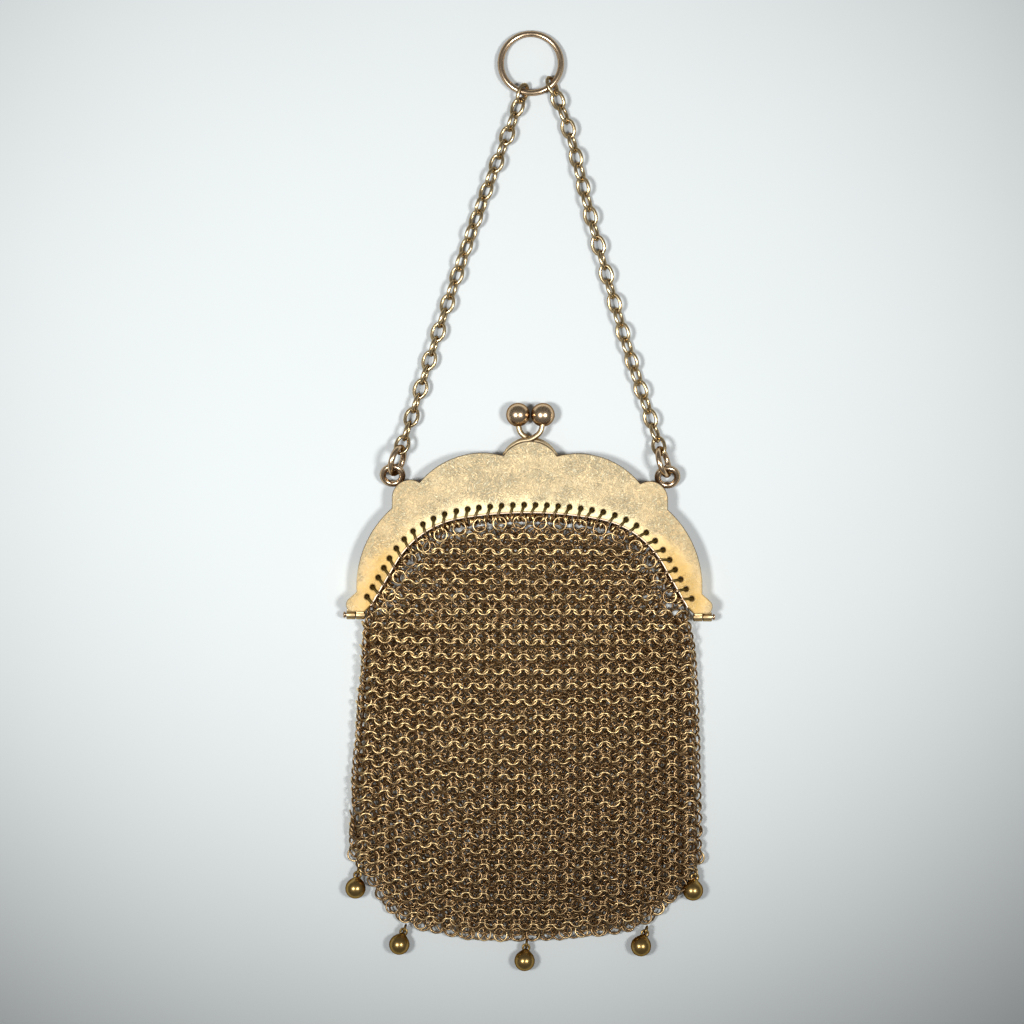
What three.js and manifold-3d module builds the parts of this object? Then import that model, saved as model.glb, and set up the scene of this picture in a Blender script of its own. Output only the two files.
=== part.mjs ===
// A ring-mesh purse in gold, lying on its back with its carrying chain laid out above it.
// Millimetres. +X is to the right, +Y towards the carrying ring and +Z up, out of the front of the purse.
// The origin lies on the back face of the frame, on its centre line and level with the two chain lugs.
import * as THREE from "three";
import { mergeVertices } from "three/addons/utils/BufferGeometryUtils.js";
import Module from "manifold-3d";

const wasm = await Module();
wasm.setup();

// Running gap that separate pieces keep where they seat on each other, and the loose pieces above the table.
const seatGap = 0.3;
const tableGap = 0.05;
// Sides of the thin wires, and of the thicker carrying ring.
const wireSides = 5;
const ringSides = 6;

// Frame: two arched halves of sheet, each with a turned rim, closed face to face.
const frameDepth = 5.6;
const plateThickness = 0.9;
const rimWidth = 0.9;
const halfDepth = (frameDepth - seatGap) / 2;

// Mouth arch, measured from its top: a flat crown, a round shoulder and a straight leg.
const archTop = -8.7;
const crownRadius = 96;
const crownAngle = THREE.MathUtils.degToRad(10);
const shoulderRadius = 22.1;
const legAngle = THREE.MathUtils.degToRad(60);
const legLength = 11.9;

// Outline: a hump for the clasp, a long top lobe, a small lobe behind each lug, and a side lobe.
const humpHalfWidth = 6.4;
const humpTop = 8.3;
const humpRise = 3.5;
const lugHalfSpan = 33;
const topLobeRise = 3.1;
const lugLobeRise = 2.3;
const lugLobeWidth = 6.6;
const lugNotchDrop = 1.7;
const lugLobeDrop = 5.6;
const sideNotchDrop = 7.9;
const sideLobeRise = 2.5;
const sideLobeWidth = 3.4;
const sideLobeLift = 3.2;
// Each foot flares outwards from its leg, and ends square on the hinge.
const footWidth = 5.2;
const footLift = 1.6;
const footDrop = 1.6;
const footCorner = 0.6;
const footStep = 1.5;
const footLobeRise = 1;

// Sewing holes along the arch.
const holesPerSide = 18;
const holeRadius = 0.52;
const holeInset = 1.8;

// Hinge at each foot: one knuckle on each half, and a pin through both.
const knuckleRadius = 1.08;
const knuckleLength = 2.1;
const knuckleGap = 0.2;
const knuckleDrop = 0.8;
const pinRadius = 0.4;
const pinClearance = 0.25;
const pinHeadRadius = 0.75;
const pinHeadLength = 0.55;

// Clasp: a ball on each half, carried by an arm that crosses the centre line.
const claspBallRadius = 2.85;
const claspBallGap = 0.25;
const claspRise = 6.4;
const claspLift = 0.15;
const armDepth = 1.6;
const armTipWidth = 0.45;
const armWidth = 1.25;
// Where the arm runs: along the hump as shares of its half width, then off it as shares of the ball's place.
const armOnHump = [0.98, 0.66, 0.33, 0];
const armBend = { across: -0.75, up: 0.32 };
const armSeat = 0.35;

// Lug rings soldered to the back half, and the jump rings that stand in them.
const lugRadius = 2.35;
const lugWire = 0.75;
const lugPitch = THREE.MathUtils.degToRad(30);
const lugSeat = 1.2;
const jumpRadius = 3.25;
const jumpWire = 0.7;
const jumpRoll = THREE.MathUtils.degToRad(70);
const jumpSlack = 0.45;

// Carrying chain and ring.
const linkLength = 5.2;
const linkWidth = 3.85;
const linkWire = 0.45;
const linkBite = 0.15;
const linkTurns = 10;
const ringRadius = 7.25;
const ringWire = 0.75;
const ringCentre = new THREE.Vector2(-0.4, 99.3);
const endLinkRoll = THREE.MathUtils.degToRad(80);
const endLinkSlack = 0.6;
// Where the two strands lie on the table between the lugs and the ring, from the bottom up.
const leftRoute = [
  [-27.6, 17],
  [-22.2, 34.7],
  [-13.5, 61.3],
  [-4.9, 84.8],
];
const rightRoute = [
  [28.8, 14.2],
  [23.1, 31.5],
  [15.1, 59.1],
  [8.9, 82.9],
];
const leftRingAngle = THREE.MathUtils.degToRad(-105);
const rightRingAngle = THREE.MathUtils.degToRad(-47);

// Bag of ring mesh: a flat tube, open at the arch and closed along its bottom edge.
const meshThickness = 1.6;
const bagMouthDepth = 5.2;
const bagDepth = 4.8;
const bagHemDepth = 3.6;
const bagHalfWidth = 42;
const bagCornerDrop = 89.5;
const bagBottomDrop = 110.9;
// Share of the bag's half depth by which its faces round in, and that its side folds keep.
const bagRounding = 0.3;
const bagFold = 0.45;
// Shares of the bag's height over which it thins below the mouth, and again above the hem.
const mouthShare = 0.25;
const hemShare = 0.2;

// Ball drops that hang from the bottom edge.
const dropRadius = 2.45;
const dropSides = 10;
const dropNeckRadius = 0.6;
const dropNeckRise = 0.15;
const dropLoopRadius = 0.75;
const dropRingRadius = 0.9;
const dropWire = 0.3;
const dropGap = 0.15;

function gold(color, roughness) {
  return new THREE.MeshStandardMaterial({ color, roughness, metalness: 1 });
}
const frameGold = gold(0xe0bf84, 0.45);
const chainGold = gold(0xc9a35f, 0.28);
const roseGold = gold(0xc48f66, 0.25);
const meshGold = gold(0x9c7a3f, 0.4);
const dropGold = gold(0x8f6f30, 0.22);

const xAxis = new THREE.Vector3(1, 0, 0);
const yAxis = new THREE.Vector3(0, 1, 0);
const zAxis = new THREE.Vector3(0, 0, 1);

// Solids

function solid(geometry) {
  const bare = new THREE.BufferGeometry();
  bare.setAttribute("position", geometry.getAttribute("position"));
  if (geometry.index) bare.setIndex(geometry.index);
  const merged = mergeVertices(bare, 1e-4);
  return new wasm.Manifold(
    new wasm.Mesh({
      numProp: 3,
      vertProperties: new Float32Array(merged.getAttribute("position").array),
      triVerts: new Uint32Array(merged.index.array),
    }),
  );
}

function geometryOf(body) {
  const mesh = body.getMesh();
  const geometry = new THREE.BufferGeometry();
  geometry.setAttribute("position", new THREE.BufferAttribute(mesh.vertProperties, 3));
  geometry.setIndex(new THREE.BufferAttribute(mesh.triVerts, 1));
  geometry.computeVertexNormals();
  return geometry;
}

function fuse(bodies) {
  return bodies.reduce((whole, body) => whole.add(body));
}

// A flat shape of [x, y] points, raised from z = from to z = to.
function raised(points, from, to, holes = []) {
  const shape = new THREE.Shape(points.map(([x, y]) => new THREE.Vector2(x, y)));
  shape.holes = holes.map((hole) => new THREE.Path(hole.map(([x, y]) => new THREE.Vector2(x, y))));
  const geometry = new THREE.ExtrudeGeometry(shape, { depth: to - from, bevelEnabled: false });
  return geometry.translate(0, 0, from);
}

// A closed wire bent to an ellipse, in the plane of the unit vectors along and across.
// Its straight steps lie across both ends, and a ridge of the wire runs along its inner side.
function wireLoop(centre, along, across, halfLength, halfWidth, wire, turns, sides) {
  const normal = new THREE.Vector3().crossVectors(along, across);
  const positions = [];
  const index = [];
  for (let i = 0; i < turns; i++) {
    const angle = (2 * Math.PI * (i + 0.5)) / turns;
    const [c, s] = [Math.cos(angle), Math.sin(angle)];
    const middle = centre.clone().addScaledVector(along, halfLength * c).addScaledVector(across, halfWidth * s);
    const outward = new THREE.Vector3()
      .addScaledVector(along, halfWidth * c)
      .addScaledVector(across, halfLength * s)
      .normalize();
    for (let j = 0; j < sides; j++) {
      const round = Math.PI + (2 * Math.PI * j) / sides;
      const point = middle.clone();
      point.addScaledVector(outward, wire * Math.cos(round)).addScaledVector(normal, wire * Math.sin(round));
      positions.push(point.x, point.y, point.z);
      const [a, b] = [i * sides + j, i * sides + ((j + 1) % sides)];
      const [c2, d] = [((i + 1) % turns) * sides + j, ((i + 1) % turns) * sides + ((j + 1) % sides)];
      index.push(a, c2, b, b, c2, d);
    }
  }
  const geometry = new THREE.BufferGeometry();
  geometry.setAttribute("position", new THREE.Float32BufferAttribute(positions, 3));
  geometry.setIndex(index);
  return geometry;
}

// Outlines

// Points after a up to b on the arc between them that stands out by rise, to the left of the way from a to b.
function arcTo(a, b, rise, steps) {
  const [dx, dy] = [b[0] - a[0], b[1] - a[1]];
  const chord = Math.hypot(dx, dy);
  const radius = (chord * chord) / (8 * rise) + rise / 2;
  const half = Math.asin(Math.min(1, chord / 2 / radius));
  const [nx, ny] = [-dy / chord, dx / chord];
  const points = [];
  for (let i = 1; i <= steps; i++) {
    const turn = -half + (2 * half * i) / steps;
    const along = (radius * Math.sin(turn)) / chord;
    const out = rise - radius * (1 - Math.cos(turn));
    points.push([a[0] + dx * (0.5 + along) + nx * out, a[1] + dy * (0.5 + along) + ny * out]);
  }
  return points;
}

// The arch's right half as lengths along it from the top: the point there, moved outwards into the plate.
const crownLength = crownRadius * crownAngle;
const shoulderLength = shoulderRadius * (legAngle - crownAngle);
const archLength = crownLength + shoulderLength + legLength;
function archAt(length, outwards) {
  const crownTurn = Math.min(length, crownLength) / crownRadius;
  const centre = [0, archTop - crownRadius];
  let turn = crownTurn;
  let point = [centre[0] + crownRadius * Math.sin(turn), centre[1] + crownRadius * Math.cos(turn)];
  if (length > crownLength) {
    const shoulder = Math.min(length - crownLength, shoulderLength) / shoulderRadius;
    const [sx, sy] = [
      point[0] - shoulderRadius * Math.sin(crownAngle),
      point[1] - shoulderRadius * Math.cos(crownAngle),
    ];
    turn = crownAngle + shoulder;
    point = [sx + shoulderRadius * Math.sin(turn), sy + shoulderRadius * Math.cos(turn)];
  }
  const leg = Math.max(0, length - crownLength - shoulderLength);
  return [
    point[0] + leg * Math.cos(turn) + outwards * Math.sin(turn),
    point[1] - leg * Math.sin(turn) + outwards * Math.cos(turn),
  ];
}

const mirrored = ([x, y]) => [-x, y];
const legEnd = archAt(archLength, 0);
const humpFoot = [humpHalfWidth, humpTop - humpRise];
const lugNotch = [lugHalfSpan - lugLobeWidth, -lugNotchDrop];
const lugLobeEnd = [lugHalfSpan, -lugLobeDrop];
const sideNotch = [lugHalfSpan, -sideNotchDrop];
const sideLobeEnd = [legEnd[0] + sideLobeWidth, legEnd[1] + sideLobeLift];
const footTop = [legEnd[0] + footWidth, legEnd[1] + footLift];
const footOuter = [legEnd[0] + footWidth - footCorner, legEnd[1] - footDrop];
const footInner = [legEnd[0] + footStep, legEnd[1] - footDrop];

// The outer edge from the top of the hump to the top of the right foot.
const rightEdge = [
  ...arcTo(mirrored(humpFoot), humpFoot, humpRise, 6).slice(2),
  ...arcTo(humpFoot, lugNotch, topLobeRise, 5),
  ...arcTo(lugNotch, lugLobeEnd, lugLobeRise, 4),
  sideNotch,
  ...arcTo(sideNotch, sideLobeEnd, sideLobeRise, 5),
  footTop,
];
const rimEdge = [...rightEdge.slice(1).reverse().map(mirrored), ...rightEdge];
const rightFoot = [...arcTo(footTop, footOuter, footLobeRise, 3), footInner];
const archCorners = [
  archLength,
  ...[1, 0.8, 0.6, 0.4, 0.2, 0].map((share) => crownLength + shoulderLength * share),
  ...[0.6, 0.2].map((share) => crownLength * share),
];
const rightArch = archCorners.map((length) => archAt(length, 0));
const plateEdge = [
  ...rimEdge,
  ...rightFoot,
  ...rightArch,
  ...[...rightArch].reverse().map(mirrored),
  ...[...rightFoot].reverse().map(mirrored),
];

// The strip inside an edge, width wide.
function strip(edge, width) {
  const inner = edge.map(([x, y], i) => {
    const before = edge[Math.max(0, i - 1)];
    const after = edge[Math.min(edge.length - 1, i + 1)];
    const into = [
      [x - before[0], y - before[1]],
      [after[0] - x, after[1] - y],
    ].map(([dx, dy]) => (dx || dy ? [dy / Math.hypot(dx, dy), -dx / Math.hypot(dx, dy)] : [0, 0]));
    const sum = [into[0][0] + into[1][0], into[0][1] + into[1][1]];
    const reach = (2 * width) / Math.max(1, Math.hypot(...sum) ** 2);
    const ends = i === 0 || i === edge.length - 1 ? 0.5 : 1;
    return [x + sum[0] * reach * ends, y + sum[1] * reach * ends];
  });
  return [...edge, ...inner.reverse()];
}

function polygon([x, y], radius, sides) {
  return Array.from({ length: sides }, (_, i) => {
    const angle = (2 * Math.PI * i) / sides;
    return [x + radius * Math.cos(angle), y + radius * Math.sin(angle)];
  });
}

const holePitch = archLength / holesPerSide;
const rightHoles = Array.from({ length: holesPerSide }, (_, i) => archAt((i + 0.5) * holePitch, holeInset));
const sewingHoles = [...rightHoles, ...rightHoles.map(mirrored)];

// Frame halves, each made with its face at z = 0 and its rim upwards

const claspBall = [claspBallRadius + claspBallGap / 2, humpTop + claspRise];
const claspHeight = claspBallRadius + claspLift;
const knuckleCentre = [footInner[1] - knuckleDrop, frameDepth / 2];
const knuckleStart = footInner[0];

// The arm that lies on the right of the hump, crosses the centre and turns up to the left ball.
function claspArm() {
  const humpRadius = (humpHalfWidth ** 2 + humpRise ** 2) / (2 * humpRise);
  const humpAngle = Math.asin(humpHalfWidth / humpRadius);
  const seat = armOnHump.map((share) => {
    const turn = humpAngle * share;
    const out = humpRadius + THREE.MathUtils.lerp(armWidth, armTipWidth, share) * armSeat;
    return new THREE.Vector3(out * Math.sin(turn), humpTop - humpRadius + out * Math.cos(turn), 0);
  });
  const neck = new THREE.Vector3(-claspBall[0], claspBall[1] - claspBallRadius + armWidth / 2, 0);
  const bend = new THREE.Vector3(claspBall[0] * armBend.across, humpTop + claspRise * armBend.up, 0);
  const curve = new THREE.CatmullRomCurve3([...seat, bend, neck], false, "centripetal");
  const steps = 12;
  const left = [];
  const right = [];
  for (let i = 0; i <= steps; i++) {
    const point = curve.getPointAt(i / steps);
    const way = curve.getTangentAt(i / steps);
    const half = THREE.MathUtils.lerp(armTipWidth, armWidth, Math.min(1, (2 * i) / steps)) / 2;
    left.push([point.x - way.y * half, point.y + way.x * half]);
    right.push([point.x + way.y * half, point.y - way.x * half]);
  }
  return raised([...right, ...left.reverse()], halfDepth - armDepth, halfDepth);
}

function knuckle(start, side) {
  const barrel = new THREE.CylinderGeometry(knuckleRadius, knuckleRadius, knuckleLength, 10);
  const boreRadius = pinRadius + pinClearance;
  const bore = new THREE.CylinderGeometry(boreRadius, boreRadius, 2 * knuckleLength, 6);
  const middle = start + knuckleLength / 2;
  for (const round of [barrel, bore]) {
    round.rotateZ(Math.PI / 2).translate(side * middle, knuckleCentre[0], knuckleCentre[1]);
  }
  const tabDepth = knuckleCentre[1] - plateThickness / 2;
  const tab = new THREE.BoxGeometry(knuckleLength, knuckleDrop + rimWidth, tabDepth);
  tab.translate(side * middle, footInner[1] + (rimWidth - knuckleDrop) / 2, plateThickness / 2 + tabDepth / 2);
  return solid(barrel).add(solid(tab)).subtract(solid(bore));
}

function frameHalf(ballZ, knuckleOffset) {
  const plate = raised(plateEdge, 0, plateThickness, sewingHoles.map((hole) => polygon(hole, holeRadius, 5)));
  const rim = raised(strip(rimEdge, rimWidth), plateThickness / 2, halfDepth);
  const ball = new THREE.SphereGeometry(claspBallRadius, 12, 7).rotateX(Math.PI / 2);
  ball.translate(-claspBall[0], claspBall[1], ballZ);
  return fuse([
    solid(plate),
    solid(rim),
    solid(claspArm()),
    solid(ball),
    knuckle(knuckleStart + knuckleOffset, 1),
    knuckle(knuckleStart + knuckleOffset, -1),
  ]);
}

// The lug rings slope up from between the halves, low enough at the plate's edge for the front half to close.
const lugHeight = halfDepth - lugWire + lugSeat * Math.tan(lugPitch);
function lugRing(side) {
  const centre = new THREE.Vector3(side * lugHalfSpan, 0, lugHeight);
  const across = new THREE.Vector3(0, Math.cos(lugPitch), Math.sin(lugPitch));
  return wireLoop(centre, xAxis, across, lugRadius, lugRadius, lugWire, 12, wireSides);
}

// Jump rings, chain and carrying ring

// The unit vector across a link or ring that faces along a direction, rolled up from the table.
function acrossOf(along, roll) {
  const side = new THREE.Vector3().crossVectors(zAxis, along).normalize();
  const up = new THREE.Vector3().crossVectors(along, side);
  return side.multiplyScalar(Math.cos(roll)).addScaledVector(up, Math.sin(roll));
}

function strand(side, route, ringAngle) {
  const lug = new THREE.Vector3(side * lugHalfSpan, 0, lugHeight);
  const first = new THREE.Vector3(route[0][0], route[0][1], 0);
  const along = first.sub(lug).setZ(0).normalize();
  const jumpHeight = jumpRadius * Math.sin(jumpRoll) + jumpWire + tableGap;
  const fromLug = lugRadius + jumpRadius - lugWire - jumpWire - jumpSlack;
  const jumpCentre = lug.clone().addScaledVector(along, fromLug).setZ(jumpHeight);
  const jumpAcross = acrossOf(along, jumpRoll);
  const jump = wireLoop(jumpCentre, along, jumpAcross, jumpRadius, jumpRadius, jumpWire, 12, wireSides);

  const halfLength = linkLength / 2 - linkWire;
  const halfWidth = linkWidth / 2 - linkWire;
  const fromJump = jumpRadius - jumpWire - seatGap - linkWire + halfLength;
  const start = jumpCentre.clone().addScaledVector(along, fromJump);
  const height = halfWidth * Math.sin(endLinkRoll) + linkWire + tableGap;
  const fromRing = ringRadius - ringWire - endLinkSlack - linkWire + halfLength;
  const outwards = new THREE.Vector3(Math.cos(ringAngle), Math.sin(ringAngle), 0);
  const end = new THREE.Vector3(ringCentre.x, ringCentre.y, height).addScaledVector(outwards, fromRing);
  const middle = route.map(([x, y]) => new THREE.Vector3(x, y, height));
  const curve = new THREE.CatmullRomCurve3([start, ...middle, end], false, "centripetal");

  const spaces = Math.round(curve.getLength() / (linkLength - 4 * linkWire + linkBite));
  const linkReach = (curve.getLength() / spaces - linkBite) / 2 + linkWire;
  const bowLength = linkReach / Math.cos(Math.PI / linkTurns);
  const firstRoll = jumpRoll - Math.PI / 2;
  const overturn = firstRoll + (spaces * Math.PI) / 2 - side * endLinkRoll;
  const drift = -(overturn - Math.PI * Math.round(overturn / Math.PI)) / spaces;
  const links = [];
  for (let i = 0; i <= spaces; i++) {
    const way = curve.getTangentAt(i / spaces);
    const across = acrossOf(way, firstRoll + i * (Math.PI / 2 + drift));
    const centre = curve.getPointAt(i / spaces);
    centre.z = Math.max(centre.z, height);
    links.push(solid(wireLoop(centre, way, across, bowLength, halfWidth, linkWire, linkTurns, wireSides)));
  }
  return { jump, chain: geometryOf(fuse(links)) };
}

// The carrying ring leans on the two end links, with its far side on the table.
const ringLift = (linkWidth / 2 - linkWire) * Math.sin(endLinkRoll) + linkWire - ringWire;
const ringTilt = Math.asin(ringLift / (2 * ringRadius - 2 * ringWire));

// Bag

// The bag widens past the hinge, then as a table of shares from there to its corners.
const mouthHalfWidth = legEnd[0] - seatGap;
const hingeHalfWidth = knuckleStart - seatGap;
const hingeLevel = knuckleCentre[0] - knuckleRadius - seatGap;
const bagSides = [
  { down: 0, out: 0 },
  { down: 0.11, out: 0.4 },
  { down: 0.34, out: 0.6 },
  { down: 0.78, out: 0.9 },
  { down: 1, out: 1 },
];
const bagBottom = [
  { across: 0, down: 1 },
  { across: 0.3, down: 0.98 },
  { across: 0.52, down: 0.93 },
  { across: 0.69, down: 0.84 },
  { across: 0.775, down: 0.69 },
  { across: 0.86, down: 0.49 },
  { across: 0.965, down: 0.2 },
  { across: 1, down: 0 },
];

function read(table, from, to, value) {
  const next = Math.max(1, table.findIndex((row) => row[from] >= value));
  const [low, high] = [table[next - 1], table[next]];
  return THREE.MathUtils.mapLinear(value, low[from], high[from], low[to], high[to]);
}

function bagHalfWidthAt(y) {
  if (y > hingeLevel) {
    const past = THREE.MathUtils.clamp((legEnd[1] - y) / (legEnd[1] - hingeLevel), 0, 1);
    return THREE.MathUtils.lerp(mouthHalfWidth, hingeHalfWidth, past);
  }
  const down = THREE.MathUtils.clamp((hingeLevel - y) / (hingeLevel + bagCornerDrop), 0, 1);
  return THREE.MathUtils.lerp(hingeHalfWidth, bagHalfWidth, read(bagSides, "down", "out", down));
}

function bagBottomAt(share) {
  const down = read(bagBottom, "across", "down", Math.min(1, Math.abs(share)));
  return -THREE.MathUtils.lerp(bagCornerDrop, bagBottomDrop, down);
}

// The arch's edge, seatGap inside it, above a point that is a share of the mouth's half width.
function mouthAt(share) {
  const x = Math.abs(share) * mouthHalfWidth;
  let [low, high] = [0, archLength];
  for (let i = 0; i < 40; i++) {
    const middle = (low + high) / 2;
    if (archAt(middle, -seatGap)[0] < x) low = middle;
    else high = middle;
  }
  return archAt(low, -seatGap)[1];
}

// One closed skin of the bag, a wall's depth inside its outer face, as rings of points from the mouth down.
const rightColumns = bagBottom.map((row) => row.across);
const bagColumns = [...rightColumns.slice(1).reverse().map((share) => -share), ...rightColumns];
const bagRows = [0, 0.06, 0.25, 0.5, 0.75, 0.93, 1];
function bagSkin(inset) {
  return bagRows.map((row) => {
    const front = [];
    const back = [];
    bagColumns.forEach((share) => {
      const top = mouthAt(share);
      const bottom = bagBottomAt(share) + inset;
      const y = THREE.MathUtils.lerp(top, bottom, row);
      const upper = THREE.MathUtils.lerp(bagMouthDepth, bagDepth, Math.min(1, row / mouthShare));
      const depth = THREE.MathUtils.lerp(upper, bagHemDepth, Math.max(0, row + hemShare - 1) / hemShare);
      const fold = Math.abs(share) === 1;
      const radius = depth / 2;
      const x = share * (bagHalfWidthAt(y) - inset - (fold ? 0 : bagRounding * radius));
      const bulge = (radius - inset) * (fold ? bagFold : 1);
      front.push([x, y, radius + bulge]);
      back.push([x, y, radius - bulge]);
    });
    return [...front, ...back.reverse()];
  });
}

function bagGeometry() {
  const skins = [bagSkin(0), bagSkin(meshThickness)];
  const round = skins[0][0].length;
  const positions = skins.flat(2).flat();
  const index = [];
  const at = (skin, row, i) => (skin * bagRows.length + row) * round + (i % round);
  const quad = (a, b, c, d) => index.push(a, b, c, a, c, d);
  const last = bagRows.length - 1;
  for (let i = 0; i < round; i++) {
    for (let row = 0; row < last; row++) {
      quad(at(0, row, i), at(0, row + 1, i), at(0, row + 1, i + 1), at(0, row, i + 1));
      quad(at(1, row, i), at(1, row, i + 1), at(1, row + 1, i + 1), at(1, row + 1, i));
    }
    quad(at(0, 0, i), at(0, 0, i + 1), at(1, 0, i + 1), at(1, 0, i));
  }
  for (let i = 0; i < round / 2 - 1; i++) {
    const mate = round - 1 - i;
    quad(at(0, last, i), at(0, last, mate), at(0, last, mate - 1), at(0, last, i + 1));
    quad(at(1, last, i), at(1, last, i + 1), at(1, last, mate - 1), at(1, last, mate));
  }
  const geometry = new THREE.BufferGeometry();
  geometry.setAttribute("position", new THREE.Float32BufferAttribute(positions, 3));
  geometry.setIndex(index);
  return geometry;
}

// Drops, each made with its ball at the origin and its loop towards +Y

const dropLoopRise = dropRadius + dropLoopRadius;
const dropRingRise = dropLoopRise + dropLoopRadius + dropRingRadius - 2 * dropWire - dropGap;
const dropHang = dropRingRise + dropRingRadius + dropWire + seatGap;

function dropGeometry() {
  const profile = [-90, -60, -30, 0, 30, 60].map((latitude) => {
    const turn = THREE.MathUtils.degToRad(latitude);
    return new THREE.Vector2(dropRadius * Math.cos(turn), dropRadius * Math.sin(turn));
  });
  profile[0].x = 0;
  profile.push(new THREE.Vector2(dropNeckRadius, dropRadius + dropNeckRise));
  profile.push(new THREE.Vector2(0, dropRadius + 2 * dropNeckRise));
  const ball = new THREE.LatheGeometry(profile, dropSides);
  const loopCentre = new THREE.Vector3(0, dropLoopRise, 0);
  const loop = wireLoop(loopCentre, yAxis, xAxis, dropLoopRadius, dropLoopRadius, dropWire, 10, wireSides);
  return geometryOf(fuse([ball, loop].map(solid)));
}

// Where the drops hang along the bottom edge, and how far each leans from straight down as it lies.
const dropPlaces = [
  { share: -0.965, lean: -8 },
  { share: -0.69, lean: -18 },
  { share: 0, lean: -6 },
  { share: 0.69, lean: -17 },
  { share: 0.965, lean: -8 },
];

// Assembly

const purse = new THREE.Group();

function place(name, geometry, material) {
  const mesh = new THREE.Mesh(geometry, material);
  mesh.name = name;
  purse.add(mesh);
  return mesh;
}

const back = fuse([frameHalf(claspHeight, knuckleLength + knuckleGap), solid(lugRing(1)), solid(lugRing(-1))]);
place("frame_back", geometryOf(back), frameGold);
const front = place("frame_front", geometryOf(frameHalf(frameDepth - claspHeight, 0)), frameGold);
front.rotation.y = Math.PI;
front.position.z = frameDepth;

for (const [side, name] of [
  [-1, "left"],
  [1, "right"],
]) {
  const reach = 2 * knuckleLength + knuckleGap;
  const shank = new THREE.CylinderGeometry(pinRadius, pinRadius, reach + seatGap, 8);
  const head = new THREE.CylinderGeometry(pinHeadRadius * 0.6, pinHeadRadius, pinHeadLength, 10);
  shank.rotateZ(-Math.PI / 2).translate(reach / 2 + seatGap / 2, 0, 0);
  head.rotateZ(-Math.PI / 2).translate(reach + seatGap + pinHeadLength / 2 - 0.05, 0, 0);
  const pin = place("hinge_pin_" + name, geometryOf(solid(shank).add(solid(head))), roseGold);
  pin.position.set(side * knuckleStart, knuckleCentre[0], knuckleCentre[1]);
  pin.rotation.z = side < 0 ? Math.PI : 0;
}

const left = strand(-1, leftRoute, leftRingAngle);
const right = strand(1, rightRoute, rightRingAngle);
place("jump_ring_left", left.jump, roseGold);
place("jump_ring_right", right.jump, roseGold);
place("chain_left", left.chain, chainGold);
place("chain_right", right.chain, chainGold);

const origin = new THREE.Vector3();
const carryingRing = wireLoop(origin, xAxis, yAxis, ringRadius, ringRadius, ringWire, 20, ringSides);
const ring = place("carrying_ring", carryingRing, roseGold);
ring.rotation.x = -ringTilt;
ring.position.set(ringCentre.x, ringCentre.y, ringWire + ringRadius * Math.sin(ringTilt) + tableGap);

place("mesh_bag", bagGeometry(), meshGold);

const drop = dropGeometry();
const dropRing = wireLoop(origin, yAxis, zAxis, dropRingRadius, dropRingRadius, dropWire, 10, wireSides);
dropPlaces.forEach(({ share, lean }, i) => {
  const hook = new THREE.Vector3(share * bagHalfWidth, bagBottomAt(share), dropRadius);
  for (const [name, geometry, material, hang] of [
    ["drop_", drop, dropGold, dropHang],
    ["drop_ring_", dropRing, meshGold, dropHang - dropRingRise],
  ]) {
    const mesh = place(name + (i + 1), geometry, material);
    mesh.rotation.z = THREE.MathUtils.degToRad(lean);
    mesh.position.copy(yAxis).applyEuler(mesh.rotation).multiplyScalar(-hang).add(hook);
  }
});

export default purse;
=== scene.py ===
import math

import bpy
import numpy as np
from mathutils import Matrix, Vector


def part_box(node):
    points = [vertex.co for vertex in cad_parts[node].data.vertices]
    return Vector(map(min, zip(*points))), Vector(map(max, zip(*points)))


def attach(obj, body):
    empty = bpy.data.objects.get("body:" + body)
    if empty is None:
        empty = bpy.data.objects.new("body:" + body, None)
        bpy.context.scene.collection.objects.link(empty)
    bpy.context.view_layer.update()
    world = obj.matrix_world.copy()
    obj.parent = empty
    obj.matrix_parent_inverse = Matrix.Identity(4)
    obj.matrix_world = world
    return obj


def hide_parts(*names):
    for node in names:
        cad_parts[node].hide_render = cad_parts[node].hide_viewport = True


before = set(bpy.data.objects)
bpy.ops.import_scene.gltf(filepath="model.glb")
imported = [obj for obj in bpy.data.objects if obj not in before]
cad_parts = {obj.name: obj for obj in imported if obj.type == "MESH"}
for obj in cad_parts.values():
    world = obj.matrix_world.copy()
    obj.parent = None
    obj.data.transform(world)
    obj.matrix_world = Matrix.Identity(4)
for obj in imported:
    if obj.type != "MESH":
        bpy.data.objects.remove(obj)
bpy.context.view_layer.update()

# Table, light and camera
# The purse lies on a plain pale table, a little clear of it on the sewing wires that cross its back, and
# is seen from straight above. Two soft lamps left and right of the camera give polished metal two bright
# spots in a dim room. They point above the table's middle, so the table turns grey at its foot.

mm = 0.001
photo_side = 1024
photo_scale = 0.24 * mm
lens = 85
photo_centre = (-4.27 * mm, -8.67 * mm)
photo_turn = math.radians(0.35)
photo_level = 3 * mm
table_size = 1600 * mm
table_level = -0.3 * mm
table_colour = (0.80, 0.848, 0.848)
table_patch_shade = 0.97
table_patch_scale = 0.02
room_light = (0.115, 0.116, 0.119)
lamp_height = 560 * mm
lamp_reach = 245 * mm
lamp_back = 40 * mm
lamp_radius = 56 * mm
lamp_powers = (9.2, 7.6)
lamp_spread = math.radians(45)
lit_spot = (-18 * mm, 34 * mm, 0)


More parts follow.
